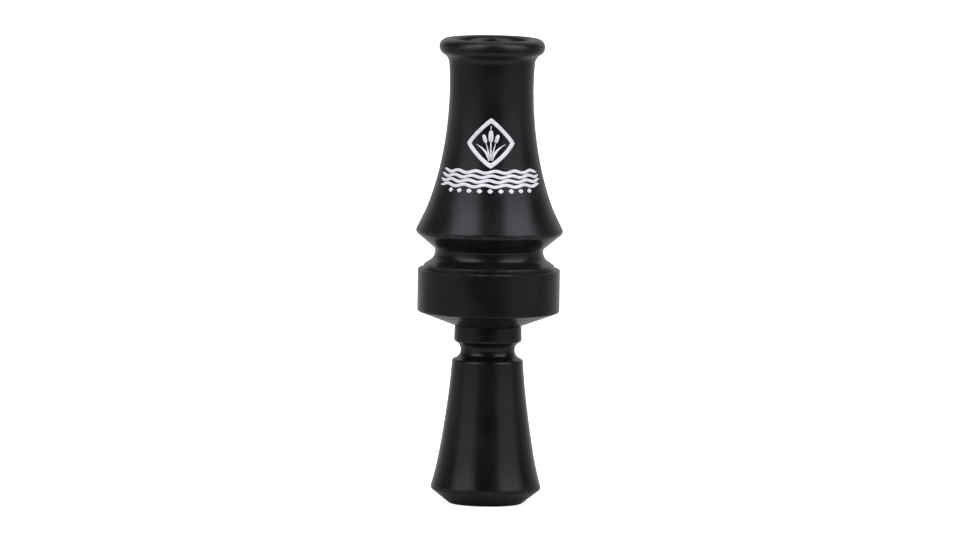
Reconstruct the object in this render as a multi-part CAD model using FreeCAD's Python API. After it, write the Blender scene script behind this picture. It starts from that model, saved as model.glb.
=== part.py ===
"""A duck call: a turned barrel with a pressed-on band, and an insert that plugs into it on two O-rings.

The insert's socket holds the tone board, two reeds and the cork wedge that clamps them.
Units are millimetres. +Z runs up the bore from the foot of the insert's bell to the mouthpiece,
the origin is the centre of that foot, and the reeds face -Y.
"""

import FreeCAD
import Part
import math
import os

# Whole call
OVERALL_HEIGHT = 127.0
SEAM_HEIGHT = 48.75           # where the barrel's end sits on the insert's collar
SEAM_GAP = 0.05

# Barrel, outside
BEAD_SECTION_RADIUS = 2.3
BEAD_RING_RADIUS = 12.12
BEAD_NECK_FILLET = 3.0
NECK_TOP_RADIUS = 11.9
FLARE_POINTS = (              # (radius, height), from the neck down to just above the flare's edge
    (11.45, 115.2),
    (11.55, 109.0),
    (12.47, 99.3),
    (14.68, 88.4),
    (16.42, 82.8),
    (17.42, 80.2),
    (18.85, 77.2),
)
FLARE_EDGE_RADIUS = 20.3
FLARE_EDGE_HEIGHT = 74.25
FLARE_EDGE_FILLET = 1.2
GROOVE_RADIUS = 14.77         # lanyard groove
GROOVE_TOP = 69.65
GROOVE_BOTTOM = 67.25
GROOVE_TOP_FILLET = 0.9
GROOVE_BOTTOM_FILLET = 3.0
FLANGE_RADIUS = 17.8
FLANGE_EDGE_HEIGHT = 65.2
FLANGE_EDGE_FILLET = 0.25
BARREL_END_RADIUS = 9.5       # where the end cone turns into the flat that meets the collar

# Barrel, inside
BORE_RADIUS = 7.94            # 5/8 inch bore
BORE_TOP = 106.0              # the straight bore opens into the mouthpiece here
BORE_ENTRY_CHAMFER = 0.45

# Band
BAND_RADIUS = 19.38
BAND_INNER_RADIUS = 16.4
BAND_TOP = 64.2
BAND_BOTTOM = 52.5
BAND_BEVEL = 0.3
SEAM_BEVEL = 0.12

# Insert, outside
FOOT_FLAT_RADIUS = 9.8
FOOT_FILLET = 1.0
BELL_EDGE_RADIUS = 15.16
BELL_EDGE_HEIGHT = 4.15
BELL_EDGE_FILLET = 1.2
BELL_POINTS = (               # (radius, height), from just above the bell's edge to below its top
    (13.85, 9.0),
    (12.3, 17.2),
    (11.1, 25.3),
    (10.2, 32.8),
)
BELL_TOP_RADIUS = 9.65
BELL_TOP_HEIGHT = 39.53
NECK_GROOVE_RADIUS = 7.37     # at the bottom of the round groove between bell and collar
NECK_EDGE_FILLET = 0.8        # either side of that groove
COLLAR_BOTTOM_RADIUS = 9.24
COLLAR_TOP_RADIUS = 9.12
COLLAR_BOTTOM = 44.4
COLLAR_TOP_FILLET = 0.18

# Insert, inside
FOOT_BORE_RADIUS = 7.5
FOOT_BORE_DEPTH = 10.0
FOOT_BORE_CHAMFER = 0.6
EXHAUST_RADIUS = 4.0
EXHAUST_TAPER_TOP = 36.0
SOCKET_RADIUS = 5.8
SOCKET_DEPTH = 14.0

# Tenon and O-rings
TENON_RADIUS = 7.8
TENON_LENGTH = 20.55
TENON_CHAMFER = 0.5
O_RING_HEIGHTS = {"lower_o_ring": 52.6, "upper_o_ring": 63.6}
O_RING_SECTION_RADIUS = 0.58
O_RING_OUTER_RADIUS = 7.90
O_RING_SIDE_PLAY = 0.17
O_RING_ROOT_PLAY = 0.02

# Tone board
TABLE_OFFSET = 1.0            # the reed table stands this far in front of the axis
TONE_BOARD_LENGTH = 54.0
TIP_DROP = 1.2                # how far the table has curved away from the reeds at the tip
CHANNEL_TIP_RADIUS = 2.8
CHANNEL_TIP_SETBACK = 6.3
HEEL_RELIEF_LENGTH = 13.5
HEEL_RELIEF_DEPTH = 1.9

# Reeds and wedge
REED_THICKNESS = 0.25
REED_HALF_WIDTH = 5.55
REED_TAIL_HEIGHT = 58.3
REED_CORNER_RADIUS = 2.0
LOWER_REED_TIP = 108.3
UPPER_REED_TIP = 106.8
CLAMP_HEIGHT = 71.0           # front of the wedge, where the reeds start to bend
DIMPLE_HEIGHT = 98.0
DIMPLE_SPACING = 4.0
DIMPLE_RADIUS = 0.8
REED_GAP = 0.35               # between the reeds at the dimples
DIMPLE_PLAY = 0.02
WEDGE_SLANT = 1.4

AXIS = FreeCAD.Vector(0, 0, 1)
ORIGIN = FreeCAD.Vector(0, 0, 0)
MATCH = 1e-4

TENON_TOP = SEAM_HEIGHT + TENON_LENGTH
SOCKET_FLOOR = TENON_TOP - SOCKET_DEPTH
TONE_BOARD_TIP = SOCKET_FLOOR + TONE_BOARD_LENGTH
BARREL_END_HEIGHT = SEAM_HEIGHT + SEAM_GAP


class Outline:
    """A closed outline of (radius, height) points in the half plane right of the axis."""

    def __init__(self, radius, height):
        self.first = FreeCAD.Vector(radius, 0, height)
        self.here = self.first
        self.edges = []

    def line(self, radius, height):
        end = FreeCAD.Vector(radius, 0, height)
        self.edges.append(Part.LineSegment(self.here, end).toShape())
        self.here = end
        return self

    def arc(self, middle, end):
        middle = FreeCAD.Vector(middle[0], 0, middle[1])
        end = FreeCAD.Vector(end[0], 0, end[1])
        self.edges.append(Part.Arc(self.here, middle, end).toShape())
        self.here = end
        return self

    def curve(self, points):
        """A smooth curve from here through the points."""
        through = [self.here] + [FreeCAD.Vector(r, 0, z) for r, z in points]
        spline = Part.BSplineCurve()
        spline.interpolate(through)
        self.edges.append(spline.toShape())
        self.here = through[-1]
        return self

    def turned(self):
        """The solid that the outline sweeps in one turn round the axis."""
        self.line(self.first.x, self.first.z)
        face = Part.Face(Part.Wire(self.edges))
        return face.revolve(ORIGIN, AXIS, 360)


def rounded(solid, corners):
    """Fillets the circular edges given as (radius, height, fillet)."""
    for radius, height, fillet in corners:
        ring = [
            edge
            for edge in solid.Edges
            if isinstance(edge.Curve, Part.Circle)
            and abs(edge.Curve.Radius - radius) < MATCH
            and abs(edge.Curve.Center.z - height) < MATCH
        ]
        solid = solid.makeFillet(fillet, ring)
    return solid


def along_line(start, end, radius):
    """Height at that radius on the straight line between two (radius, height) points."""
    share = (radius - start[0]) / (end[0] - start[0])
    return start[1] + share * (end[1] - start[1])


def end_cone_height(radius):
    """Height of the shallow cone that closes the band and the barrel's end."""
    return along_line((BARREL_END_RADIUS, BARREL_END_HEIGHT), (BAND_RADIUS, BAND_BOTTOM), radius)


def box(x, y, z):
    """A block between two bounds on each axis."""
    return Part.makeBox(x[1] - x[0], y[1] - y[0], z[1] - z[0], FreeCAD.Vector(x[0], y[0], z[0]))


def prism(side_points, half_width):
    """A solid with that (y, height) polygon as its side view, spanning the width on both sides."""
    points = [FreeCAD.Vector(-half_width, y, z) for y, z in side_points]
    face = Part.Face(Part.makePolygon(points + points[:1]))
    return face.extrude(FreeCAD.Vector(2 * half_width, 0, 0))


def barrel():
    bead_height = OVERALL_HEIGHT - BEAD_SECTION_RADIUS
    reach = math.sqrt(BEAD_SECTION_RADIUS**2 - (BEAD_RING_RADIUS - NECK_TOP_RADIUS) ** 2)
    neck_height = bead_height - reach
    spigot_end = end_cone_height(BAND_INNER_RADIUS)
    outline = Outline(BORE_RADIUS + BORE_ENTRY_CHAMFER, BARREL_END_HEIGHT)
    outline.line(BARREL_END_RADIUS, BARREL_END_HEIGHT)
    outline.line(BAND_INNER_RADIUS - SEAM_BEVEL, end_cone_height(BAND_INNER_RADIUS - SEAM_BEVEL))
    outline.line(BAND_INNER_RADIUS, spigot_end + SEAM_BEVEL)
    outline.line(BAND_INNER_RADIUS, BAND_TOP)
    outline.line(FLANGE_RADIUS, BAND_TOP)
    outline.line(FLANGE_RADIUS, FLANGE_EDGE_HEIGHT)
    outline.line(GROOVE_RADIUS, GROOVE_BOTTOM)
    outline.line(GROOVE_RADIUS, GROOVE_TOP)
    outline.line(FLARE_EDGE_RADIUS, FLARE_EDGE_HEIGHT)
    outline.curve(FLARE_POINTS[::-1] + ((NECK_TOP_RADIUS, neck_height),))
    outline.arc(
        (BEAD_RING_RADIUS + BEAD_SECTION_RADIUS, bead_height),
        (BEAD_RING_RADIUS - BEAD_SECTION_RADIUS, bead_height),
    )
    outline.line(BORE_RADIUS, BORE_TOP)
    outline.line(BORE_RADIUS, BARREL_END_HEIGHT + BORE_ENTRY_CHAMFER)
    return rounded(
        outline.turned(),
        (
            (NECK_TOP_RADIUS, neck_height, BEAD_NECK_FILLET),
            (FLARE_EDGE_RADIUS, FLARE_EDGE_HEIGHT, FLARE_EDGE_FILLET),
            (GROOVE_RADIUS, GROOVE_TOP, GROOVE_TOP_FILLET),
            (GROOVE_RADIUS, GROOVE_BOTTOM, GROOVE_BOTTOM_FILLET),
            (FLANGE_RADIUS, FLANGE_EDGE_HEIGHT, FLANGE_EDGE_FILLET),
        ),
    )


def band():
    outer, inner = BAND_RADIUS, BAND_INNER_RADIUS
    outline = Outline(inner, BAND_TOP)
    outline.line(outer - BAND_BEVEL, BAND_TOP)
    outline.line(outer, BAND_TOP - BAND_BEVEL)
    outline.line(outer, BAND_BOTTOM + BAND_BEVEL)
    outline.line(outer - BAND_BEVEL, end_cone_height(outer - BAND_BEVEL))
    outline.line(inner + SEAM_BEVEL, end_cone_height(inner + SEAM_BEVEL))
    outline.line(inner, end_cone_height(inner) + SEAM_BEVEL)
    return outline.turned()


def o_ring_root_radius():
    return O_RING_OUTER_RADIUS - 2 * O_RING_SECTION_RADIUS - O_RING_ROOT_PLAY


def insert():
    """Bell, neck groove, collar and tenon in one piece, with the exhaust bore and the socket."""
    half_groove = O_RING_SECTION_RADIUS + O_RING_SIDE_PLAY
    groove_bottom = (NECK_GROOVE_RADIUS, (BELL_TOP_HEIGHT + COLLAR_BOTTOM) / 2)
    outline = Outline(FOOT_BORE_RADIUS + FOOT_BORE_CHAMFER, 0)
    outline.line(FOOT_FLAT_RADIUS, 0)
    outline.line(BELL_EDGE_RADIUS, BELL_EDGE_HEIGHT)
    outline.curve(BELL_POINTS + ((BELL_TOP_RADIUS, BELL_TOP_HEIGHT),))
    outline.arc(groove_bottom, (COLLAR_BOTTOM_RADIUS, COLLAR_BOTTOM))
    outline.line(COLLAR_TOP_RADIUS, SEAM_HEIGHT)
    outline.line(TENON_RADIUS, SEAM_HEIGHT)
    for height in sorted(O_RING_HEIGHTS.values()):
        outline.line(TENON_RADIUS, height - half_groove)
        outline.line(o_ring_root_radius(), height - half_groove)
        outline.line(o_ring_root_radius(), height + half_groove)
        outline.line(TENON_RADIUS, height + half_groove)
    outline.line(TENON_RADIUS, TENON_TOP - TENON_CHAMFER)
    outline.line(TENON_RADIUS - TENON_CHAMFER, TENON_TOP)
    outline.line(SOCKET_RADIUS, TENON_TOP)
    outline.line(SOCKET_RADIUS, SOCKET_FLOOR)
    outline.line(EXHAUST_RADIUS, SOCKET_FLOOR)
    outline.line(EXHAUST_RADIUS, EXHAUST_TAPER_TOP)
    outline.line(FOOT_BORE_RADIUS, FOOT_BORE_DEPTH)
    outline.line(FOOT_BORE_RADIUS, FOOT_BORE_CHAMFER)
    return rounded(
        outline.turned(),
        (
            (FOOT_FLAT_RADIUS, 0, FOOT_FILLET),
            (BELL_EDGE_RADIUS, BELL_EDGE_HEIGHT, BELL_EDGE_FILLET),
            (BELL_TOP_RADIUS, BELL_TOP_HEIGHT, NECK_EDGE_FILLET),
            (COLLAR_BOTTOM_RADIUS, COLLAR_BOTTOM, NECK_EDGE_FILLET),
            (COLLAR_TOP_RADIUS, SEAM_HEIGHT, COLLAR_TOP_FILLET),
        ),
    )


def o_ring(height):
    ring_radius = O_RING_OUTER_RADIUS - O_RING_SECTION_RADIUS
    return Part.makeTorus(ring_radius, O_RING_SECTION_RADIUS, FreeCAD.Vector(0, 0, height), AXIS)


def channelled_rod():
    """A rod with the exhaust's round bore carried into it, then tapered to a closed round end."""
    end_height = TONE_BOARD_TIP - CHANNEL_TIP_SETBACK
    diagonal = CHANNEL_TIP_RADIUS * math.sqrt(0.5)
    outline = Outline(EXHAUST_RADIUS, SOCKET_FLOOR)
    outline.line(SOCKET_RADIUS, SOCKET_FLOOR)
    outline.line(SOCKET_RADIUS, TONE_BOARD_TIP)
    outline.line(0, TONE_BOARD_TIP)
    outline.line(0, end_height + CHANNEL_TIP_RADIUS)
    outline.arc((diagonal, end_height + diagonal), (CHANNEL_TIP_RADIUS, end_height))
    outline.line(EXHAUST_RADIUS, CLAMP_HEIGHT)
    rod = outline.turned()
    # The seam of its round faces goes to the front, where the reed table cuts it away.
    rod.rotate(ORIGIN, AXIS, -90)
    return rod


def in_front_of_table():
    """All that lies in front of the reed table, which is flat under the wedge, then curves away."""
    clear = 2 * SOCKET_RADIUS
    run = TONE_BOARD_TIP - CLAMP_HEIGHT
    below = FreeCAD.Vector(-clear, -TABLE_OFFSET, SOCKET_FLOOR - 1)
    bend = FreeCAD.Vector(-clear, -TABLE_OFFSET, CLAMP_HEIGHT)
    middle = FreeCAD.Vector(-clear, -TABLE_OFFSET + TIP_DROP / 4, CLAMP_HEIGHT + run / 2)
    tip = FreeCAD.Vector(-clear, -TABLE_OFFSET + TIP_DROP, TONE_BOARD_TIP)
    front_top = FreeCAD.Vector(-clear, -clear, TONE_BOARD_TIP + 1)
    front_bottom = FreeCAD.Vector(-clear, -clear, SOCKET_FLOOR - 1)
    over_tip = FreeCAD.Vector(-clear, tip.y, TONE_BOARD_TIP + 1)
    edges = [
        Part.LineSegment(below, bend).toShape(),
        Part.Arc(bend, middle, tip).toShape(),
        Part.makePolygon([tip, over_tip, front_top, front_bottom, below]),
    ]
    return Part.Face(Part.Wire(edges)).extrude(FreeCAD.Vector(2 * clear, 0, 0))


def tone_board():
    relief = prism(
        (
            (SOCKET_RADIUS, TONE_BOARD_TIP - HEEL_RELIEF_LENGTH),
            (SOCKET_RADIUS - HEEL_RELIEF_DEPTH, TONE_BOARD_TIP),
            (SOCKET_RADIUS - HEEL_RELIEF_DEPTH, TONE_BOARD_TIP + 1),
            (2 * SOCKET_RADIUS, TONE_BOARD_TIP + 1),
            (2 * SOCKET_RADIUS, TONE_BOARD_TIP - HEEL_RELIEF_LENGTH),
        ),
        2 * SOCKET_RADIUS,
    )
    return channelled_rod().cut([in_front_of_table(), relief])


def reed_plan(tip_height):
    """A thick block with the reed's outline seen from the front: a strip with round tip corners."""
    side = 2 * SOCKET_RADIUS
    block = box(
        (-REED_HALF_WIDTH, REED_HALF_WIDTH), (-side, side), (REED_TAIL_HEIGHT, tip_height)
    )
    corners = [
        edge
        for edge in block.Edges
        if all(abs(vertex.Z - tip_height) < MATCH for vertex in edge.Vertexes)
        and abs(edge.Vertexes[0].X - edge.Vertexes[1].X) < MATCH
    ]
    return block.makeFillet(REED_CORNER_RADIUS, corners)


def lower_reed():
    back = -TABLE_OFFSET
    front = back - REED_THICKNESS
    strip = prism(
        (
            (back, REED_TAIL_HEIGHT),
            (back, LOWER_REED_TIP),
            (front, LOWER_REED_TIP),
            (front, REED_TAIL_HEIGHT),
        ),
        REED_HALF_WIDTH,
    )
    return strip.common(reed_plan(LOWER_REED_TIP))


def upper_reed():
    """Flat under the wedge, then leaning off the lower reed, which its two dimples rest on."""
    back = -TABLE_OFFSET - REED_THICKNESS
    lean = REED_GAP / (DIMPLE_HEIGHT - CLAMP_HEIGHT)
    tip_back = back - lean * (UPPER_REED_TIP - CLAMP_HEIGHT)
    strip = prism(
        (
            (back, REED_TAIL_HEIGHT),
            (back, CLAMP_HEIGHT),
            (tip_back, UPPER_REED_TIP),
            (tip_back - REED_THICKNESS, UPPER_REED_TIP),
            (back - REED_THICKNESS, CLAMP_HEIGHT),
            (back - REED_THICKNESS, REED_TAIL_HEIGHT),
        ),
        REED_HALF_WIDTH,
    )
    reed = strip.common(reed_plan(UPPER_REED_TIP))
    depth = REED_GAP - DIMPLE_PLAY
    ball_radius = (DIMPLE_RADIUS**2 + depth**2) / (2 * depth)
    behind = box((-2, 2), (back - REED_GAP - REED_THICKNESS / 2, back + 2), (-2, 2))
    for side in (-1, 1):
        middle = FreeCAD.Vector(
            side * DIMPLE_SPACING / 2, back - DIMPLE_PLAY - ball_radius, DIMPLE_HEIGHT
        )
        bump = Part.makeSphere(ball_radius, middle)
        reach = behind.translated(FreeCAD.Vector(middle.x, 0, DIMPLE_HEIGHT))
        reed = reed.fuse(bump.common(reach))
        dent_middle = middle + FreeCAD.Vector(0, -REED_THICKNESS, 0)
        reed = reed.cut(Part.makeSphere(ball_radius, dent_middle))
    return reed.removeSplitter()


def wedge():
    """A half-round cork block that fills the socket in front of the reeds, with a slanted nose."""
    back = -TABLE_OFFSET - 2 * REED_THICKNESS
    front = -SOCKET_RADIUS
    side = prism(
        (
            (back, REED_TAIL_HEIGHT),
            (back, CLAMP_HEIGHT),
            (front, CLAMP_HEIGHT - WEDGE_SLANT),
            (front, REED_TAIL_HEIGHT),
        ),
        SOCKET_RADIUS,
    )
    height = CLAMP_HEIGHT - REED_TAIL_HEIGHT
    fill = Part.makeCylinder(
        SOCKET_RADIUS, height, FreeCAD.Vector(0, 0, REED_TAIL_HEIGHT), AXIS
    )
    return side.common(fill)


def main():
    parts = {
        "barrel": barrel(),
        "band": band(),
        "insert": insert(),
        "tone_board": tone_board(),
        "lower_reed": lower_reed(),
        "upper_reed": upper_reed(),
        "wedge": wedge(),
    }
    for name, height in O_RING_HEIGHTS.items():
        parts[name] = o_ring(height)
    os.makedirs("parts", exist_ok=True)
    for name, shape in parts.items():
        if not shape.isValid():
            raise RuntimeError(f"{name} is not a valid shape")
        shape.exportStep(f"parts/{name}.step")
        print(name, len(shape.Solids), "solid,", round(shape.Volume, 2), "mm3")


main()
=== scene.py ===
import math

import bpy
from mathutils import Matrix, Vector
from mathutils.bvhtree import BVHTree


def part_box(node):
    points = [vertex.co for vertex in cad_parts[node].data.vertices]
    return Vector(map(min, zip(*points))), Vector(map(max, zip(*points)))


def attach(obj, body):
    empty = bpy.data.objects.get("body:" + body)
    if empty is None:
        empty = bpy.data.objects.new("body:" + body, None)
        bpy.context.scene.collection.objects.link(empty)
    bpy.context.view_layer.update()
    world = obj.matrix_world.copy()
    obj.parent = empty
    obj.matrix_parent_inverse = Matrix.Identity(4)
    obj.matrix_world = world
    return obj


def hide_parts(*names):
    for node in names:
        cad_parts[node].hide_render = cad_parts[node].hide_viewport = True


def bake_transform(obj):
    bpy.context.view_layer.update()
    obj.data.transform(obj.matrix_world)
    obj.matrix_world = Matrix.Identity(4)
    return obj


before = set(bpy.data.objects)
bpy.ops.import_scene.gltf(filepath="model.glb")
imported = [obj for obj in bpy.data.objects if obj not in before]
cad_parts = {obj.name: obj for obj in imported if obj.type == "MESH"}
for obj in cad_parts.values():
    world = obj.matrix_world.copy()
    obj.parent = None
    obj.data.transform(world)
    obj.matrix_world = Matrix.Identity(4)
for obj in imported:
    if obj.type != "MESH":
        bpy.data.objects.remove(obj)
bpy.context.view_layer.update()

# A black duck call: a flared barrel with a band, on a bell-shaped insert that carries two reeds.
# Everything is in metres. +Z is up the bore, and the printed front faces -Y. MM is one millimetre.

MM = 0.001


# ---------------------------------------------------------------- camera, light and floor

VIEW_ELEVATION = math.radians(5.4)
VIEW_ROLL = math.radians(0.9)          # the call leans this far to the right in the frame
VIEW_WIDTH = 0.2662                    # width of the frame at the call
VIEW_LENS = 500.0                      # focal length and sensor width in millimetres
SENSOR = 36.0
VIEW_DISTANCE = VIEW_WIDTH * VIEW_LENS / SENSOR
AIM = Vector((0.00005, 0.0, 0.0624))


def add_camera():
    """A long lens in front of the call, a little above it."""
    data = bpy.data.cameras.new("camera")
    data.lens = VIEW_LENS
    data.sensor_width = SENSOR
    data.clip_end = 50.0
    camera = bpy.data.objects.new("camera", data)
    bpy.context.collection.objects.link(camera)
    backward = Vector((0, -math.cos(VIEW_ELEVATION), math.sin(VIEW_ELEVATION)))
    right = Vector((1, 0, 0))
    up = backward.cross(right)
    turned_right = math.cos(VIEW_ROLL) * right + math.sin(VIEW_ROLL) * up
    turned_up = math.cos(VIEW_ROLL) * up - math.sin(VIEW_ROLL) * right
    rotation = Matrix((turned_right, turned_up, backward)).transposed().to_4x4()
    camera.matrix_world = Matrix.Translation(AIM + VIEW_DISTANCE * backward) @ rotation
    bpy.context.scene.camera = camera


# The studio is fixed in the room. These are the grey levels that the call sees, by azimuth in degrees,
# where 0 is the front and positive is to the right. One list is for the horizon, one for the walls and
# one for the ceiling, and each pair of elevations is where one list gives way to the next.
HORIZON = (
    (-180, 0.28), (-166, 0.42), (-148, 0.60), (-130, 0.48), (-60, 0.52), (-40, 0.48), (-24, 0.30),
    (0, 0.13), (24, 0.20), (40, 0.44), (70, 0.52), (95, 0.34), (125, 0.46), (148, 0.60),
    (166, 0.42), (180, 0.28),
)
WALLS = (
    (-180, 0.40), (-165, 0.60), (-150, 0.66), (-134, 0.34), (-119, 0.12), (-60, 0.10), (0, 0.06),
    (104, 0.10), (119, 0.22), (134, 0.42), (150, 0.68), (165, 0.60), (180, 0.40),
)
CEILING = (
    (-180, 0.30), (-130, 0.28), (-95, 0.12), (-60, 0.35), (-25, 0.50), (0, 0.50),
    (40, 0.55), (70, 0.40), (95, 0.12), (130, 0.34), (180, 0.30),
)
HORIZON_TO_WALLS = (0, 18)
WALLS_TO_CEILING = (42, 64)
# Two tall softboxes: how far into one of them each azimuth is, low down and high up, and their
# brightness by elevation.
SOFTBOXES_LOW = (
    (-180, 0.0), (-84, 0.0), (-70, 1.0), (-38, 1.0), (-20, 0.0), (0, 0.0),
    (24, 0.0), (38, 1.0), (78, 1.0), (92, 0.0), (180, 0.0),
)
SOFTBOXES_HIGH = (
    (-180, 0.0), (-82, 0.0), (-66, 1.0), (-30, 1.0), (-14, 0.0), (0, 0.0),
    (24, 0.0), (38, 1.0), (80, 1.0), (94, 0.0), (180, 0.0),
)
SOFTBOX_RISE = (
    (-90, 0.0), (-4, 0.05), (8, 0.66), (14, 1.1), (20, 1.65), (30, 2.7), (42, 3.45),
    (56, 3.35), (66, 2.6), (76, 1.8), (90, 0.5),
)
SOFTBOX_PEAK = 3.45
SOFTBOX_LOW_TO_HIGH = (14, 44)
SOFTBOX_TINT = (0.985, 0.98, 1.07, 1)
# The floor's colour is painted light and shade for the call to reflect and be lit by. The paper itself
# is plain;
# these levels paint a bright pool on the ring in front of the call, dark floor farther out in front,
# and other levels by azimuth. There is one grey level close to the call, and levels by azimuth in the
# ring round that and beyond the ring. Each pair of distances from the call is where one gives way to
# the next.
FLOOR_NEAR = 0.52
NEAR_TO_RING = (0.05, 0.09)
FLOOR_RING = ((-180, 0.48), (-90, 0.48), (-60, 0.95), (60, 0.95), (90, 0.48), (180, 0.48))
RING_TO_FAR = (0.12, 0.26)
FLOOR_FAR = (
    (-180, 0.50), (-150, 0.62), (-120, 0.44), (-60, 0.46), (-40, 0.38), (-24, 0.14), (0, 0.08),
    (24, 0.14), (40, 0.44), (70, 0.52), (92, 0.34), (120, 0.42), (150, 0.62), (180, 0.50),
)
FLOOR_HALF_SIZE = 3.0
# What the camera sees of the room: overexposed white, and on the floor a slightly weaker glow at the
# call, which paints a soft shade round the call on top of its real contact shadow and lets that shadow
# show.
CAMERA_WHITE = 1.05
GLOW_AT_CALL_PAINTED_SHADE = 0.86
GLOW_REACH = 0.35
TOP_LIGHT_HEIGHT = 1.2
TOP_LIGHT_SIZE = 0.8
TOP_LIGHT_RADIANCE = 0.25


class Nodes:
    """Short hands for building a node tree."""

    def __init__(self, tree):
        self.tree = tree

    def put(self, socket, value):
        """Links an output to a socket, or sets a plain value on it."""
        if isinstance(value, bpy.types.NodeSocket):
            self.tree.links.new(value, socket)
        else:
            socket.default_value = value

    def add(self, kind, **inputs):
        """A new node, with inputs given by name; an underscore stands for a space."""
        node = self.tree.nodes.new(kind)
        for name, value in inputs.items():
            self.put(node.inputs[name.replace("_", " ")], value)
        return node

    def math(self, operation, first, second=0.0):
        """The result of one arithmetic operation."""
        node = self.add("ShaderNodeMath")
        node.operation = operation
        self.put(node.inputs[0], first)
        self.put(node.inputs[1], second)
        return node.outputs[0]

    def span(self, value, low, high, start=0.0, end=1.0):
        """Maps low..high smoothly to start..end, clamped."""
        node = self.add("ShaderNodeMapRange", Value=value, From_Min=low, From_Max=high)
        node.interpolation_type = "SMOOTHSTEP"
        self.put(node.inputs["To Min"], start)
        self.put(node.inputs["To Max"], end)
        return node.outputs["Result"]

    def mixed(self, share, first, second):
        """Colour between two colours or outputs."""
        node = self.add("ShaderNodeMix")
        node.data_type = "RGBA"
        self.put(node.inputs["Factor"], share)
        for socket, value in ((node.inputs[6], first), (node.inputs[7], second)):
            self.put(socket, value if isinstance(value, bpy.types.NodeSocket) else (*value, 1))
        return node.outputs[2]

    def split(self, vector):
        """The three parts of a vector."""
        return self.add("ShaderNodeSeparateXYZ", Vector=vector).outputs

    def length(self, vector):
        """How long a vector is."""
        node = self.add("ShaderNodeVectorMath", Vector=vector)
        node.operation = "LENGTH"
        return node.outputs["Value"]

    def stepped(self, angle, steps, peak=1.0):
        """A grey level looked up by an angle in degrees, from (angle, level) steps, divided by peak."""
        low, high = steps[0][0], steps[-1][0]
        share = self.add("ShaderNodeMapRange", Value=angle, From_Min=low, From_Max=high)
        ramp = self.add("ShaderNodeValToRGB", Fac=share.outputs["Result"])
        elements = ramp.color_ramp.elements
        elements[1].position = 1.0
        for _ in steps[1:-1]:
            elements.new(0.5)
        for element, (step_angle, _) in zip(elements, steps):
            element.position = (step_angle - low) / (high - low)
        for element, (_, level) in zip(elements, steps):
            grey = level / peak
            element.color = (grey, grey, grey, 1)
        return ramp.outputs["Color"]

    def azimuth(self, x, y):
        """Degrees round from the front, positive to the right."""
        turn = self.math("ARCTAN2", x, self.math("MULTIPLY", y, -1.0))
        return self.math("MULTIPLY", turn, 180 / math.pi)


def add_world():
    """White to the camera; to the call, a studio with two tall softboxes and pale walls behind."""
    world = bpy.data.worlds.new("studio")
    world.use_nodes = True
    bpy.context.scene.world = world
    world.node_tree.nodes.clear()
    nodes = Nodes(world.node_tree)
    x, y, z = nodes.split(nodes.add("ShaderNodeTexCoord").outputs["Generated"])
    azimuth = nodes.azimuth(x, y)
    elevation = nodes.math("MULTIPLY", nodes.math("ARCSINE", z), 180 / math.pi)
    low = nodes.stepped(azimuth, HORIZON)
    middle = nodes.stepped(azimuth, WALLS)
    high = nodes.stepped(azimuth, CEILING)
    lower_room = nodes.mixed(nodes.span(elevation, *HORIZON_TO_WALLS), low, middle)
    room = nodes.mixed(nodes.span(elevation, *WALLS_TO_CEILING), lower_room, high)
    boxes = nodes.stepped(azimuth, SOFTBOXES_LOW), nodes.stepped(azimuth, SOFTBOXES_HIGH)
    inside = nodes.mixed(nodes.span(elevation, *SOFTBOX_LOW_TO_HIGH), *boxes)
    rise = nodes.stepped(elevation, SOFTBOX_RISE, SOFTBOX_PEAK)
    brightness = nodes.math("MULTIPLY", nodes.math("MULTIPLY", inside, rise), SOFTBOX_PEAK)
    surround = nodes.add("ShaderNodeBackground", Color=room)
    panels = nodes.add("ShaderNodeBackground", Color=SOFTBOX_TINT, Strength=brightness)
    both = nodes.add("ShaderNodeAddShader")
    nodes.put(both.inputs[0], surround.outputs[0])
    nodes.put(both.inputs[1], panels.outputs[0])
    white = nodes.add("ShaderNodeBackground", Color=(1, 1, 1, 1), Strength=CAMERA_WHITE)
    pick = nodes.add("ShaderNodeMixShader")
    nodes.put(pick.inputs[0], nodes.add("ShaderNodeLightPath").outputs["Is Camera Ray"])
    nodes.put(pick.inputs[1], both.outputs[0])
    nodes.put(pick.inputs[2], white.outputs[0])
    nodes.add("ShaderNodeOutputWorld", Surface=pick.outputs[0])


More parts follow.
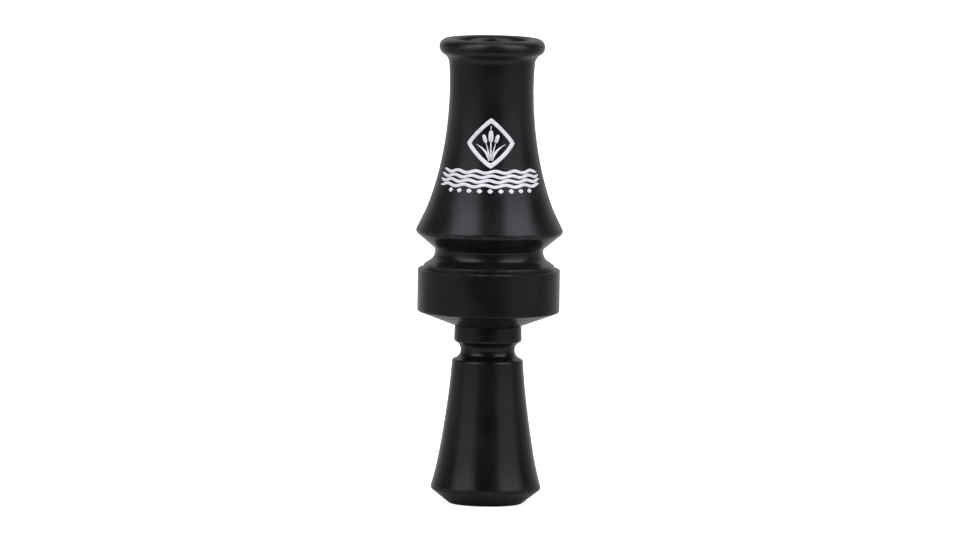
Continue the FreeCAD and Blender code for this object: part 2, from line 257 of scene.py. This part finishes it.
def add_floor():
    """White paper: overexposed in the frame, with painted shade where its glow dims at the call, and
    only grey as a source of light for the call, painted with light and shade by azimuth.
    """
    mesh = bpy.data.meshes.new("floor")
    square = ((-1, -1), (1, -1), (1, 1), (-1, 1))
    corners = [(FLOOR_HALF_SIZE * x, FLOOR_HALF_SIZE * y, 0) for x, y in square]
    mesh.from_pydata(corners, [], [(0, 1, 2, 3)])
    floor = bpy.data.objects.new("floor", mesh)
    bpy.context.collection.objects.link(floor)
    material = bpy.data.materials.new("floor_paper_with_painted_light")
    material.use_nodes = True
    nodes = Nodes(material.node_tree)
    shader = material.node_tree.nodes["Principled BSDF"]
    shader.inputs["Roughness"].default_value = 0.9
    shader.inputs["Specular IOR Level"].default_value = 0.0
    shader.inputs["Emission Color"].default_value = (1, 1, 1, 1)
    place = nodes.add("ShaderNodeTexCoord").outputs["Object"]
    x, y, _ = nodes.split(place)
    distance = nodes.length(place)
    azimuth = nodes.azimuth(x, y)
    near = (FLOOR_NEAR, FLOOR_NEAR, FLOOR_NEAR)
    ring = nodes.stepped(azimuth, FLOOR_RING)
    far = nodes.stepped(azimuth, FLOOR_FAR)
    inner = nodes.mixed(nodes.span(distance, *NEAR_TO_RING), near, ring)
    painted_floor_light = nodes.mixed(nodes.span(distance, *RING_TO_FAR), inner, far)
    # Painted light and shade: the paper's colour stands in for how light falls on the floor round the
    # call.
    nodes.put(shader.inputs["Base Color"], painted_floor_light)
    seen = nodes.add("ShaderNodeLightPath").outputs["Is Camera Ray"]
    # Painted shade: the glow that only the camera sees is dimmed towards the call.
    glow_with_painted_shade = nodes.span(distance, 0.0, GLOW_REACH, GLOW_AT_CALL_PAINTED_SHADE, CAMERA_WHITE)
    nodes.put(shader.inputs["Emission Strength"], nodes.math("MULTIPLY", seen, glow_with_painted_shade))
    mesh.materials.append(material)


def add_top_light():
    """A weak soft light straight above, as wide as it is high."""
    light = bpy.data.lights.new("top_light", "AREA")
    light.size = TOP_LIGHT_SIZE
    light.energy = math.pi * TOP_LIGHT_SIZE**2 * TOP_LIGHT_RADIANCE
    lamp = bpy.data.objects.new("top_light", light)
    lamp.location = (0, 0, TOP_LIGHT_HEIGHT)
    lamp.visible_camera = False
    bpy.context.collection.objects.link(lamp)


# ---------------------------------------------------------------- materials


class Look(Nodes):
    """One node material: a Principled shader, and helpers that add nodes to its tree.

    Textures use object coordinates in metres, so they stay with the piece when it moves.
    """

    def __init__(self, name, color, roughness, **sockets):
        self.material = bpy.data.materials.new(name)
        self.material.use_nodes = True
        super().__init__(self.material.node_tree)
        self.shader = self.tree.nodes["Principled BSDF"]
        self.shader.inputs["Base Color"].default_value = (*color, 1)
        self.shader.inputs["Roughness"].default_value = roughness
        for socket, value in sockets.items():
            self.shader.inputs[socket.replace("_", " ")].default_value = value
        self.place = self.add("ShaderNodeTexCoord").outputs["Object"]
        self.normal = None

    def scaled(self, factors):
        """The place in the piece, multiplied along each axis."""
        node = self.add("ShaderNodeVectorMath")
        node.operation = "MULTIPLY"
        self.put(node.inputs[0], self.place)
        node.inputs[1].default_value = factors
        return node.outputs[0]

    def noise(self, size, detail=2.0, stretch=(1, 1, 1)):
        """Noise whose blobs are about that many metres across, shrunk along each axis by stretch."""
        place = self.scaled([factor / size for factor in stretch])
        node = self.add("ShaderNodeTexNoise", Vector=place, Scale=1.0, Detail=detail)
        return node.outputs["Fac"]

    def cells(self, size, feature="F1"):
        """Distances in a pattern of cells that are about that many metres across."""
        node = self.add("ShaderNodeTexVoronoi", Vector=self.scaled([1 / size] * 3), Scale=1.0)
        node.feature = feature
        return node.outputs["Distance"]

    def radius_and_height(self):
        """Distance from the bore's axis, and height."""
        return self.length(self.scaled((1, 1, 0))), self.split(self.place)["Z"]

    def near_rings(self, rings, reach):
        """1 on the circular edges given as (radius, height), falling to 0 at that reach from them."""
        radius, height = self.radius_and_height()
        nearest = None
        for ring_radius, ring_height in rings:
            across = self.math("POWER", self.math("SUBTRACT", radius, ring_radius), 2)
            along = self.math("POWER", self.math("SUBTRACT", height, ring_height), 2)
            distance = self.math("SQRT", self.math("ADD", across, along))
            nearest = distance if nearest is None else self.math("MINIMUM", nearest, distance)
        return self.span(nearest, 0.0, reach, 1.0, 0.0)

    def bump(self, height, depth):
        """Adds relief of that depth in metres on top of any before it."""
        node = self.add("ShaderNodeBump", Height=height, Distance=depth)
        if self.normal is not None:
            self.put(node.inputs["Normal"], self.normal)
        self.normal = node.outputs["Normal"]
        self.put(self.shader.inputs["Normal"], self.normal)

    def color(self, value):
        """Sets the base colour."""
        self.put(self.shader.inputs["Base Color"], value)

    def roughness(self, value):
        """Sets the roughness."""
        self.put(self.shader.inputs["Roughness"], value)


def black_plastic(name, color, rough, rings, turning, satin_from=None):
    """Satin black plastic: fine grain, faint turning lines, hairline scratches, handled edges.

    The edges in rings are rubbed paler and smoother, and turning is the depth of the turning lines.
    With satin_from, the surface is rougher above that height.
    """
    look = Look(name, color, rough, Specular_IOR_Level=0.25)
    grain = look.noise(0.16 * MM, 2.0)
    smudges = look.noise(9 * MM, 4.0)
    mottle = look.noise(1.6 * MM, 3.0)
    lines = look.noise(0.22 * MM, 1.0, (0.02, 0.02, 1))
    scratch_field = look.noise(0.12 * MM, 0.0, (0.03, 0.05, 1))
    scratches = look.span(scratch_field, 0.74, 0.80)
    patchy = look.span(look.noise(2.4 * MM, 3.0), 0.42, 0.62)
    worn = look.math("MULTIPLY", look.near_rings(rings, 0.9 * MM), patchy)
    rough_base = look.span(smudges, 0.3, 0.7, rough - 0.035, rough + 0.035)
    rough_fine = look.span(mottle, 0.3, 0.7, -0.015, 0.015)
    scuffed = look.math("MULTIPLY", scratches, 0.06)
    polished = look.math("MULTIPLY", worn, -0.10)
    rough_sum = look.math("ADD", look.math("ADD", rough_base, rough_fine), scuffed)
    if satin_from is not None:
        height = look.radius_and_height()[1]
        satin = look.span(height, satin_from - 1.5 * MM, satin_from + 1.5 * MM, 0.0, 0.05)
        rough_sum = look.math("ADD", rough_sum, satin)
    look.roughness(look.math("ADD", rough_sum, polished))
    pale = tuple(1.7 * channel for channel in color)
    rubbed = tuple(3.0 * channel for channel in color)
    look.color(look.mixed(worn, look.mixed(look.span(smudges, 0.35, 0.75), color, pale), rubbed))
    look.bump(lines, turning)
    look.bump(grain, 1.2e-6)
    look.bump(look.math("MULTIPLY", scratches, -1.0), 0.8e-6)
    return look.material


def matte_plastic(name, color):
    """Machined matte plastic: tool marks along the height and a coarser grain."""
    look = Look(name, color, 0.5, Specular_IOR_Level=0.4)
    marks = look.noise(0.35 * MM, 2.0, (1, 1, 0.06))
    grain = look.noise(0.11 * MM, 2.0)
    dust = look.span(look.noise(0.9 * MM, 4.0), 0.55, 0.8)
    look.roughness(look.span(look.noise(3 * MM, 3.0), 0.3, 0.7, 0.42, 0.58))
    look.color(look.mixed(dust, color, tuple(1.8 * channel for channel in color)))
    look.bump(marks, 4e-6)
    look.bump(grain, 2.5e-6)
    return look.material


def reed_film(name):
    """Frosted polyester film, cut from sheet: fine frosting, long faint brush marks, a dull sheen."""
    look = Look(name, (0.72, 0.71, 0.65), 0.38, Transmission_Weight=0.12, Specular_IOR_Level=0.5)
    frosting = look.noise(0.07 * MM, 2.0)
    brushed = look.noise(0.14 * MM, 2.0, (1, 1, 0.03))
    haze = look.noise(4 * MM, 3.0)
    look.color(look.mixed(look.span(haze, 0.3, 0.7), (0.70, 0.69, 0.62), (0.77, 0.76, 0.71)))
    look.roughness(look.span(brushed, 0.3, 0.7, 0.32, 0.46))
    look.bump(brushed, 1.6e-6)
    look.bump(frosting, 1.2e-6)
    return look.material


def cork(name):
    """Natural cork: pale granules with darker seams, small pores and a few woody flecks."""
    look = Look(name, (0.5, 0.33, 0.18), 0.8, Specular_IOR_Level=0.25)
    granules = look.cells(0.9 * MM)
    seams = look.cells(0.9 * MM, feature="DISTANCE_TO_EDGE")
    tone = look.noise(0.5 * MM, 4.0)
    flecks = look.span(look.noise(0.45 * MM, 2.0, (1, 1, 2.5)), 0.62, 0.7)
    pores = look.span(look.noise(0.16 * MM, 1.0), 0.3, 0.42, 1.0, 0.0)
    pale = look.mixed(look.span(granules, 0.1, 0.6), (0.58, 0.40, 0.23), (0.46, 0.29, 0.15))
    body = look.mixed(look.span(tone, 0.35, 0.7), pale, (0.40, 0.25, 0.125))
    seamed = look.mixed(look.span(seams, 0.0, 0.07, 0.75, 0.0), body, (0.17, 0.09, 0.04))
    flecked = look.mixed(flecks, seamed, (0.10, 0.05, 0.022))
    look.color(look.mixed(look.math("MULTIPLY", pores, 0.7), flecked, (0.13, 0.07, 0.03)))
    look.roughness(look.span(tone, 0.3, 0.7, 0.7, 0.9))
    look.bump(look.span(seams, 0.0, 0.1), 30e-6)
    look.bump(look.math("SUBTRACT", tone, pores), 25e-6)
    return look.material


def greased_rubber(name):
    """Black nitrile rubber with a thin uneven film of grease."""
    look = Look(name, (0.011, 0.011, 0.011), 0.5, Coat_Weight=0.35, Coat_Roughness=0.18)
    skin = look.noise(0.12 * MM, 3.0)
    smear = look.noise(1.3 * MM, 3.0)
    look.roughness(look.span(smear, 0.35, 0.65, 0.36, 0.62))
    look.color(look.mixed(look.span(smear, 0.5, 0.8), (0.010, 0.010, 0.010), (0.022, 0.022, 0.021)))
    look.bump(skin, 3e-6)
    look.bump(smear, 12e-6)
    return look.material


def printing_ink(name):
    """White pad-printing ink: nearly opaque, slightly grainy, with a few pinholes and rubbed spots."""
    look = Look(name, (0.9, 0.905, 0.91), 0.45, Specular_IOR_Level=0.5)
    grain = look.noise(0.08 * MM, 2.0)
    film = look.noise(1.1 * MM, 4.0)
    pinholes = look.span(look.noise(0.1 * MM, 0.0), 0.79, 0.83)
    thin = look.span(film, 0.28, 0.42, 0.22, 0.0)
    full = look.mixed(look.span(film, 0.35, 0.65), (0.80, 0.81, 0.825), (0.87, 0.875, 0.885))
    look.color(look.mixed(look.math("MAXIMUM", thin, pinholes), full, (0.42, 0.43, 0.45)))
    look.roughness(look.span(film, 0.3, 0.7, 0.38, 0.55))
    look.bump(grain, 2e-6)
    look.bump(film, 5e-6)
    return look.material


def dress(look, *names):
    """Gives the whole of each named CAD node that material."""
    for name in names:
        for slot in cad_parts[name].material_slots:
            slot.material = look


BARREL_BLACK = (0.0064, 0.0061, 0.0069)
BAND_BLACK = (0.0045, 0.0045, 0.0047)
INSERT_BLACK = (0.0042, 0.0042, 0.0045)
TONE_BOARD_BLACK = (0.020, 0.020, 0.021)
FLARE_SATIN_FROM = 74 * MM             # the flare and the mouthpiece are a little rougher
# Circular edges that handling has rubbed, as (radius, height).
FLARE_EDGE = (20.0 * MM, 74.3 * MM)
FLANGE_EDGE = (17.8 * MM, 65.2 * MM)
BEAD_CREST = (13.4 * MM, 126.6 * MM)
BAND_EDGES = ((19.38 * MM, 64.2 * MM), (19.38 * MM, 52.5 * MM))
BELL_EDGE = (14.92 * MM, 4.25 * MM)
FOOT_EDGE = (9.78 * MM, 0.05 * MM)
NECK_EDGES = ((9.5 * MM, 39.2 * MM), (9.1 * MM, 44.7 * MM))

BARREL_RINGS = (FLARE_EDGE, FLANGE_EDGE, BEAD_CREST)
INSERT_RINGS = (BELL_EDGE, FOOT_EDGE, *NECK_EDGES)


def dress_cad_nodes():
    """Gives every CAD node that stays visible its material."""
    barrel = black_plastic(
        "barrel_satin",
        BARREL_BLACK,
        rough=0.2,
        rings=BARREL_RINGS,
        turning=0.9e-6,
        satin_from=FLARE_SATIN_FROM,
    )
    band = black_plastic("band_satin", BAND_BLACK, rough=0.22, rings=BAND_EDGES, turning=1.6e-6)
    insert = black_plastic("insert_satin", INSERT_BLACK, rough=0.2, rings=INSERT_RINGS, turning=0.9e-6)
    dress(barrel, "barrel")
    dress(band, "band")
    dress(insert, "insert")
    dress(matte_plastic("tone_board_matte", TONE_BOARD_BLACK), "tone_board")
    dress(cork("wedge_cork_grain"), "wedge")
    dress(greased_rubber("o_ring_greased"), "lower_o_ring", "upper_o_ring")


# ---------------------------------------------------------------- pieces


def new_piece(name, points, faces, material, body):
    mesh = bpy.data.meshes.new(name)
    mesh.from_pydata(points, [], faces)
    mesh.validate()
    mesh.shade_smooth()
    mesh.materials.append(material)
    piece = bpy.data.objects.new(name, mesh)
    bpy.context.collection.objects.link(piece)
    if body:
        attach(piece, body)
    return piece


# ---- the reeds: thin film strips with rounded tips; the upper one has two pressed dimples

CLAMP = 71.0 * MM                      # top end of the wedge, where the reeds start to bend
THICKNESS = 0.25 * MM
EDGE_ROUND = 0.04 * MM
REED_CORNER = 2.0 * MM                 # radius of the tip's two corners
CORNER_START = 0.1                     # first angle and steps round a corner, in radians
CORNER_STEP = 0.12
COLUMN_STEP = 0.25 * MM
ROW_STEP = 0.5 * MM
DIMPLE_X = (-2.0 * MM, 2.0 * MM)
DIMPLE_Z = 98.0 * MM
DIMPLE_RADIUS = 0.8 * MM
DIMPLE_DEPTH = 0.33 * MM
FINE_REACH = 1.2 * MM                  # rows are closer together this far from the dimples
FINE_STEP = 0.1 * MM
CLEAR_OF_FINE = 1.3 * MM               # and the other rows stay this far from them


def spaced(start, end, step):
    """Evenly spaced values from start to end, about that step apart."""
    count = max(1, round((end - start) / step))
    return [start + (end - start) * index / count for index in range(count + 1)]


def dimple_depth(x, z):
    """How far the dimples push the film back at that point: a shallow dish with a soft rim."""
    depth = 0.0
    for middle in DIMPLE_X:
        share = math.hypot(x - middle, z - DIMPLE_Z) / DIMPLE_RADIUS
        if share < 1:
            depth = max(depth, DIMPLE_DEPTH * (1 - share**2) ** 1.5)
    return depth


def reed_heights(low, high, dimpled):
    """Heights of a strip's rows from its tail to its tip, closer together where it is detailed."""
    straight = spaced(low, high - REED_CORNER, ROW_STEP)
    if dimpled:
        coarse = [z for z in straight if abs(z - DIMPLE_Z) > CLEAR_OF_FINE]
        fine = spaced(DIMPLE_Z - FINE_REACH, DIMPLE_Z + FINE_REACH, FINE_STEP)
        straight = sorted(coarse + fine)
    angles = spaced(CORNER_START, math.pi / 2, CORNER_STEP)
    return straight + [high - REED_CORNER * (1 - math.sin(angle)) for angle in angles]


def reed_strip(name, material, node, lean, dimpled):
    """A strip as loops round its thin section, from the tail to the tip, closed at both ends.

    Lean is how far it comes forward past the clamp for each metre of height.
    """
    low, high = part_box(node)
    half = high.x
    back = high.y
    heights = reed_heights(low.z, high.z, dimpled)
    columns = 2 * max(2, round(half / COLUMN_STEP))
    points = []
    for index, z in enumerate(heights):
        past = max(0.0, z - (high.z - REED_CORNER))
        width = half - REED_CORNER + math.sqrt(max(0.0, REED_CORNER**2 - past**2))
        # The two end rows are pinched flat, which closes the strip.
        pinch = 0.5 if index in (0, len(heights) - 1) else 0.0
        shift = -lean * max(0.0, z - CLAMP)
        flat = width - EDGE_ROUND
        xs = [flat * (2 * column / columns - 1) for column in range(columns + 1)]
        dents = [dimple_depth(x, z) if dimpled else 0.0 for x in xs]
        front = [(x, back - THICKNESS * (1 - pinch) + shift + dent, z) for x, dent in zip(xs, dents)]
        rear = [(x, back - THICKNESS * pinch + shift + dent, z) for x, dent in zip(xs, dents)]
        middle = back - THICKNESS / 2 + shift
        points += [*front, (width, middle, z), *reversed(rear), (-width, middle, z)]
    ring = 2 * columns + 4
    faces = []
    for row in range(len(heights) - 1):
        here = row * ring
        above = here + ring
        for column in range(ring):
            following = (column + 1) % ring
            faces.append((here + column, here + following, above + following, above + column))
    return new_piece(name, points, faces, material, None)


def add_reeds():
    """Replaces both reeds with film strips: the lower one straight, the upper one leaning forward from
    the clamp up.
    """
    film = reed_film("reed_frosted")
    upper_low, upper_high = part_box("upper_reed")
    upper_lean = (upper_high.y - THICKNESS - upper_low.y) / (upper_high.z - CLAMP)
    for node, lean, dimpled in (("lower_reed", 0.0, False), ("upper_reed", upper_lean, True)):
        piece = reed_strip(node + "_film", film, node, lean, dimpled)
        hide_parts(node)
        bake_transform(piece)


# ---- the printed mark: cattails in a lozenge, over a band of ripples and a row of small lozenges

INK_PROUD = 0.035 * MM
INK_SUNK = 0.03 * MM
INK_STEP = 0.3 * MM
ACROSS = 5                             # points across each stroke
BLADE_STEPS = 24
LOZENGE_MIDDLE = 99.4 * MM
LOZENGE_HALF_SIZE = 6.8 * MM
LOZENGE_STROKE = 1.4 * MM
LOZENGE_POINTS = 96
LOZENGE_BULGE = 1.14                   # 1 has straight sides and sharp corners, and 2 is a circle
RIPPLE_MIDDLE = 89.8 * MM
RIPPLE_PITCH = 1.24 * MM
RIPPLE_HALF_LENGTHS = (15.9 * MM, 16.6 * MM, 16.6 * MM, 15.9 * MM)
RIPPLE_WAVE = 5.6 * MM
RIPPLE_SWELL = 0.28 * MM
RIPPLE_HALF_WIDTH = 0.41 * MM
RIPPLE_TAPER = 1.6 * MM
RIPPLE_PHASE = 1.1                     # from one ripple to the next, in radians
STUD_MIDDLE = 86.55 * MM
STUD_PITCH = 2.95 * MM
STUD_HALF_LENGTH = 0.8 * MM
STUD_HALF_WIDTH = 0.6 * MM
THINNEST = 0.02 * MM                   # half widths at the pointed ends
THINNEST_RIPPLE = 0.03 * MM


def bent(points, count):
    """Evenly spread points on a Bezier curve with those control points."""
    result = []
    for index in range(count + 1):
        share = index / count
        level = [Vector(point) for point in points]
        while len(level) > 1:
            level = [a.lerp(b, share) for a, b in zip(level, level[1:])]
        result.append(level[0])
    return result


def ribbon(path, half_widths):
    """Rows of ACROSS flat points, at each point of a path of (across, up) points."""
    rows = []
    for index, point in enumerate(path):
        before = path[max(0, index - 1)]
        after = path[min(len(path) - 1, index + 1)]
        along = (after - before).normalized()
        side = Vector((-along.y, along.x))
        half = half_widths[index]
        rows.append([point + side * half * (2 * step / (ACROSS - 1) - 1) for step in range(ACROSS)])
    return rows


def lens(start, end, half_width, blunt=0.5):
    """A pointed or blunt spindle between two points; a smaller blunt makes it fuller."""
    start, end = Vector(start), Vector(end)
    count = max(6, round((end - start).length / INK_STEP))
    path = [start.lerp(end, index / count) for index in range(count + 1)]
    shares = [math.sin(math.pi * index / count) for index in range(count + 1)]
    return ribbon(path, [max(THINNEST, half_width * share**blunt) for share in shares])


def blade(points, half_width):
    """A leaf or stem along a curve that narrows to a tenth at its far end."""
    shares = [index / BLADE_STEPS for index in range(BLADE_STEPS + 1)]
    widths = [half_width * (1 - 0.9 * share**1.6) for share in shares]
    return ribbon(bent(points, BLADE_STEPS), widths)


def lozenge_ring():
    """The outline of a lozenge with slightly soft corners."""
    sizes = [LOZENGE_HALF_SIZE - LOZENGE_STROKE * step / (ACROSS - 1) for step in range(ACROSS)]
    rows = []
    for index in range(LOZENGE_POINTS + 1):
        angle = 2 * math.pi * index / LOZENGE_POINTS
        cosine, sine = math.cos(angle), math.sin(angle)
        corner = abs(cosine) ** LOZENGE_BULGE + abs(sine) ** LOZENGE_BULGE
        direction = Vector((cosine, sine)) * corner ** (-1 / LOZENGE_BULGE)
        rows.append([direction * size for size in sizes])
    return rows


def ripple(half_length, height, phase):
    """One wavy line that narrows at both ends."""
    count = round(2 * half_length / INK_STEP)
    path = []
    widths = []
    for index in range(count + 1):
        across = -half_length + 2 * half_length * index / count
        swell = math.sin(2 * math.pi * across / RIPPLE_WAVE + phase)
        path.append(Vector((across, height + RIPPLE_SWELL * swell)))
        from_end = (half_length - abs(across)) / RIPPLE_TAPER
        widths.append(max(THINNEST_RIPPLE, RIPPLE_HALF_WIDTH * min(1.0, from_end) ** 0.6))
    return ribbon(path, widths)


def cattails():
    """Three cattails and two leaves, placed about the lozenge's middle."""
    stem = blade(((0, -4.5 * MM), (0, 0), (0, 4.4 * MM)), 0.24 * MM)
    head = lens((0, 0.2 * MM), (0, 3.6 * MM), 0.70 * MM, 0.28)
    spike = lens((0, 3.7 * MM), (0, 4.7 * MM), 0.16 * MM)
    shapes = [stem, head, spike]
    for reach in (-MM, MM):
        side_stem = ((0.25 * reach, -4.3 * MM), (0.6 * reach, -2 * MM), (2.0 * reach, 2.3 * MM))
        leaf = ((0.2 * reach, -4.6 * MM), (1.2 * reach, -1.6 * MM), (4.0 * reach, -0.3 * MM))
        shapes.append(blade(side_stem, 0.2 * MM))
        shapes.append(lens((1.3 * reach, 0.0), (2.1 * reach, 2.4 * MM), 0.53 * MM, 0.28))
        shapes.append(blade(leaf, 0.40 * MM))
    return shapes


def mark_shapes():
    """Every stroke of the mark as rows of (across, up), with the height that its zero sits at."""
    shapes = [(lozenge_ring(), LOZENGE_MIDDLE)]
    shapes += [(plant, LOZENGE_MIDDLE) for plant in cattails()]
    for row, half_length in enumerate(RIPPLE_HALF_LENGTHS):
        height = (1.5 - row) * RIPPLE_PITCH
        shapes.append((ripple(half_length, height, RIPPLE_PHASE * row), RIPPLE_MIDDLE))
    for index in range(-4, 5):
        middle = STUD_PITCH * index
        ends = (middle - STUD_HALF_LENGTH, 0), (middle + STUD_HALF_LENGTH, 0)
        shapes.append((lens(*ends, STUD_HALF_WIDTH, 1.0), STUD_MIDDLE))
    return shapes


def film_faces(first, rows):
    """Faces of one stroke of ink: its front, its back and the walls round it.

    Its front points are numbered from first, ACROSS to a row, and its back points follow them.
    """
    layer = rows * ACROSS
    faces = []
    for row in range(rows - 1):
        for column in range(ACROSS - 1):
            a = first + row * ACROSS + column
            b = a + layer
            faces.append((a, a + 1, a + ACROSS + 1, a + ACROSS))
            faces.append((b, b + ACROSS, b + ACROSS + 1, b + 1))
    for column in (0, ACROSS - 1):
        side = [first + row * ACROSS + column for row in range(rows)]
        for a, b in zip(side, side[1:]):
            wall = (a, b, b + layer, a + layer)
            faces.append(wall[::-1] if column else wall)
    for row in (0, rows - 1):
        for column in range(ACROSS - 1):
            a = first + row * ACROSS + column
            wall = (a, a + 1, a + 1 + layer, a + layer)
            faces.append(wall if row else wall[::-1])
    return faces


def add_printed_mark():
    """Wraps the flat shapes round the front of the barrel as a thin film of ink with closed edges."""
    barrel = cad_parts["barrel"]
    tree = BVHTree.FromPolygons(
        [vertex.co for vertex in barrel.data.vertices],
        [tuple(polygon.vertices) for polygon in barrel.data.polygons],
    )

    def surface(angle, height):
        """The place on the barrel at an angle from the front, and the direction out of it."""
        outward = Vector((math.sin(angle), -math.cos(angle), 0))
        start = 50 * MM * outward + Vector((0, 0, height))
        return tree.ray_cast(start, -outward)[0], outward

    points = []
    faces = []
    for rows, middle in mark_shapes():
        front = surface(0, middle)[0]
        wrap_radius = math.sqrt(front.length_squared - middle**2)
        faces += film_faces(len(points), len(rows))
        for lift in (INK_PROUD, -INK_SUNK):
            for row in rows:
                for flat in row:
                    place, outward = surface(flat.x / wrap_radius, middle + flat.y)
                    points.append(place + lift * outward)
    new_piece("printed_mark", points, faces, printing_ink("ink_white"), "barrel")


# ---------------------------------------------------------------- the scene

bpy.context.scene.view_settings.view_transform = "Standard"
add_camera()
add_world()
add_top_light()
add_floor()
dress_cad_nodes()
add_reeds()
add_printed_mark()
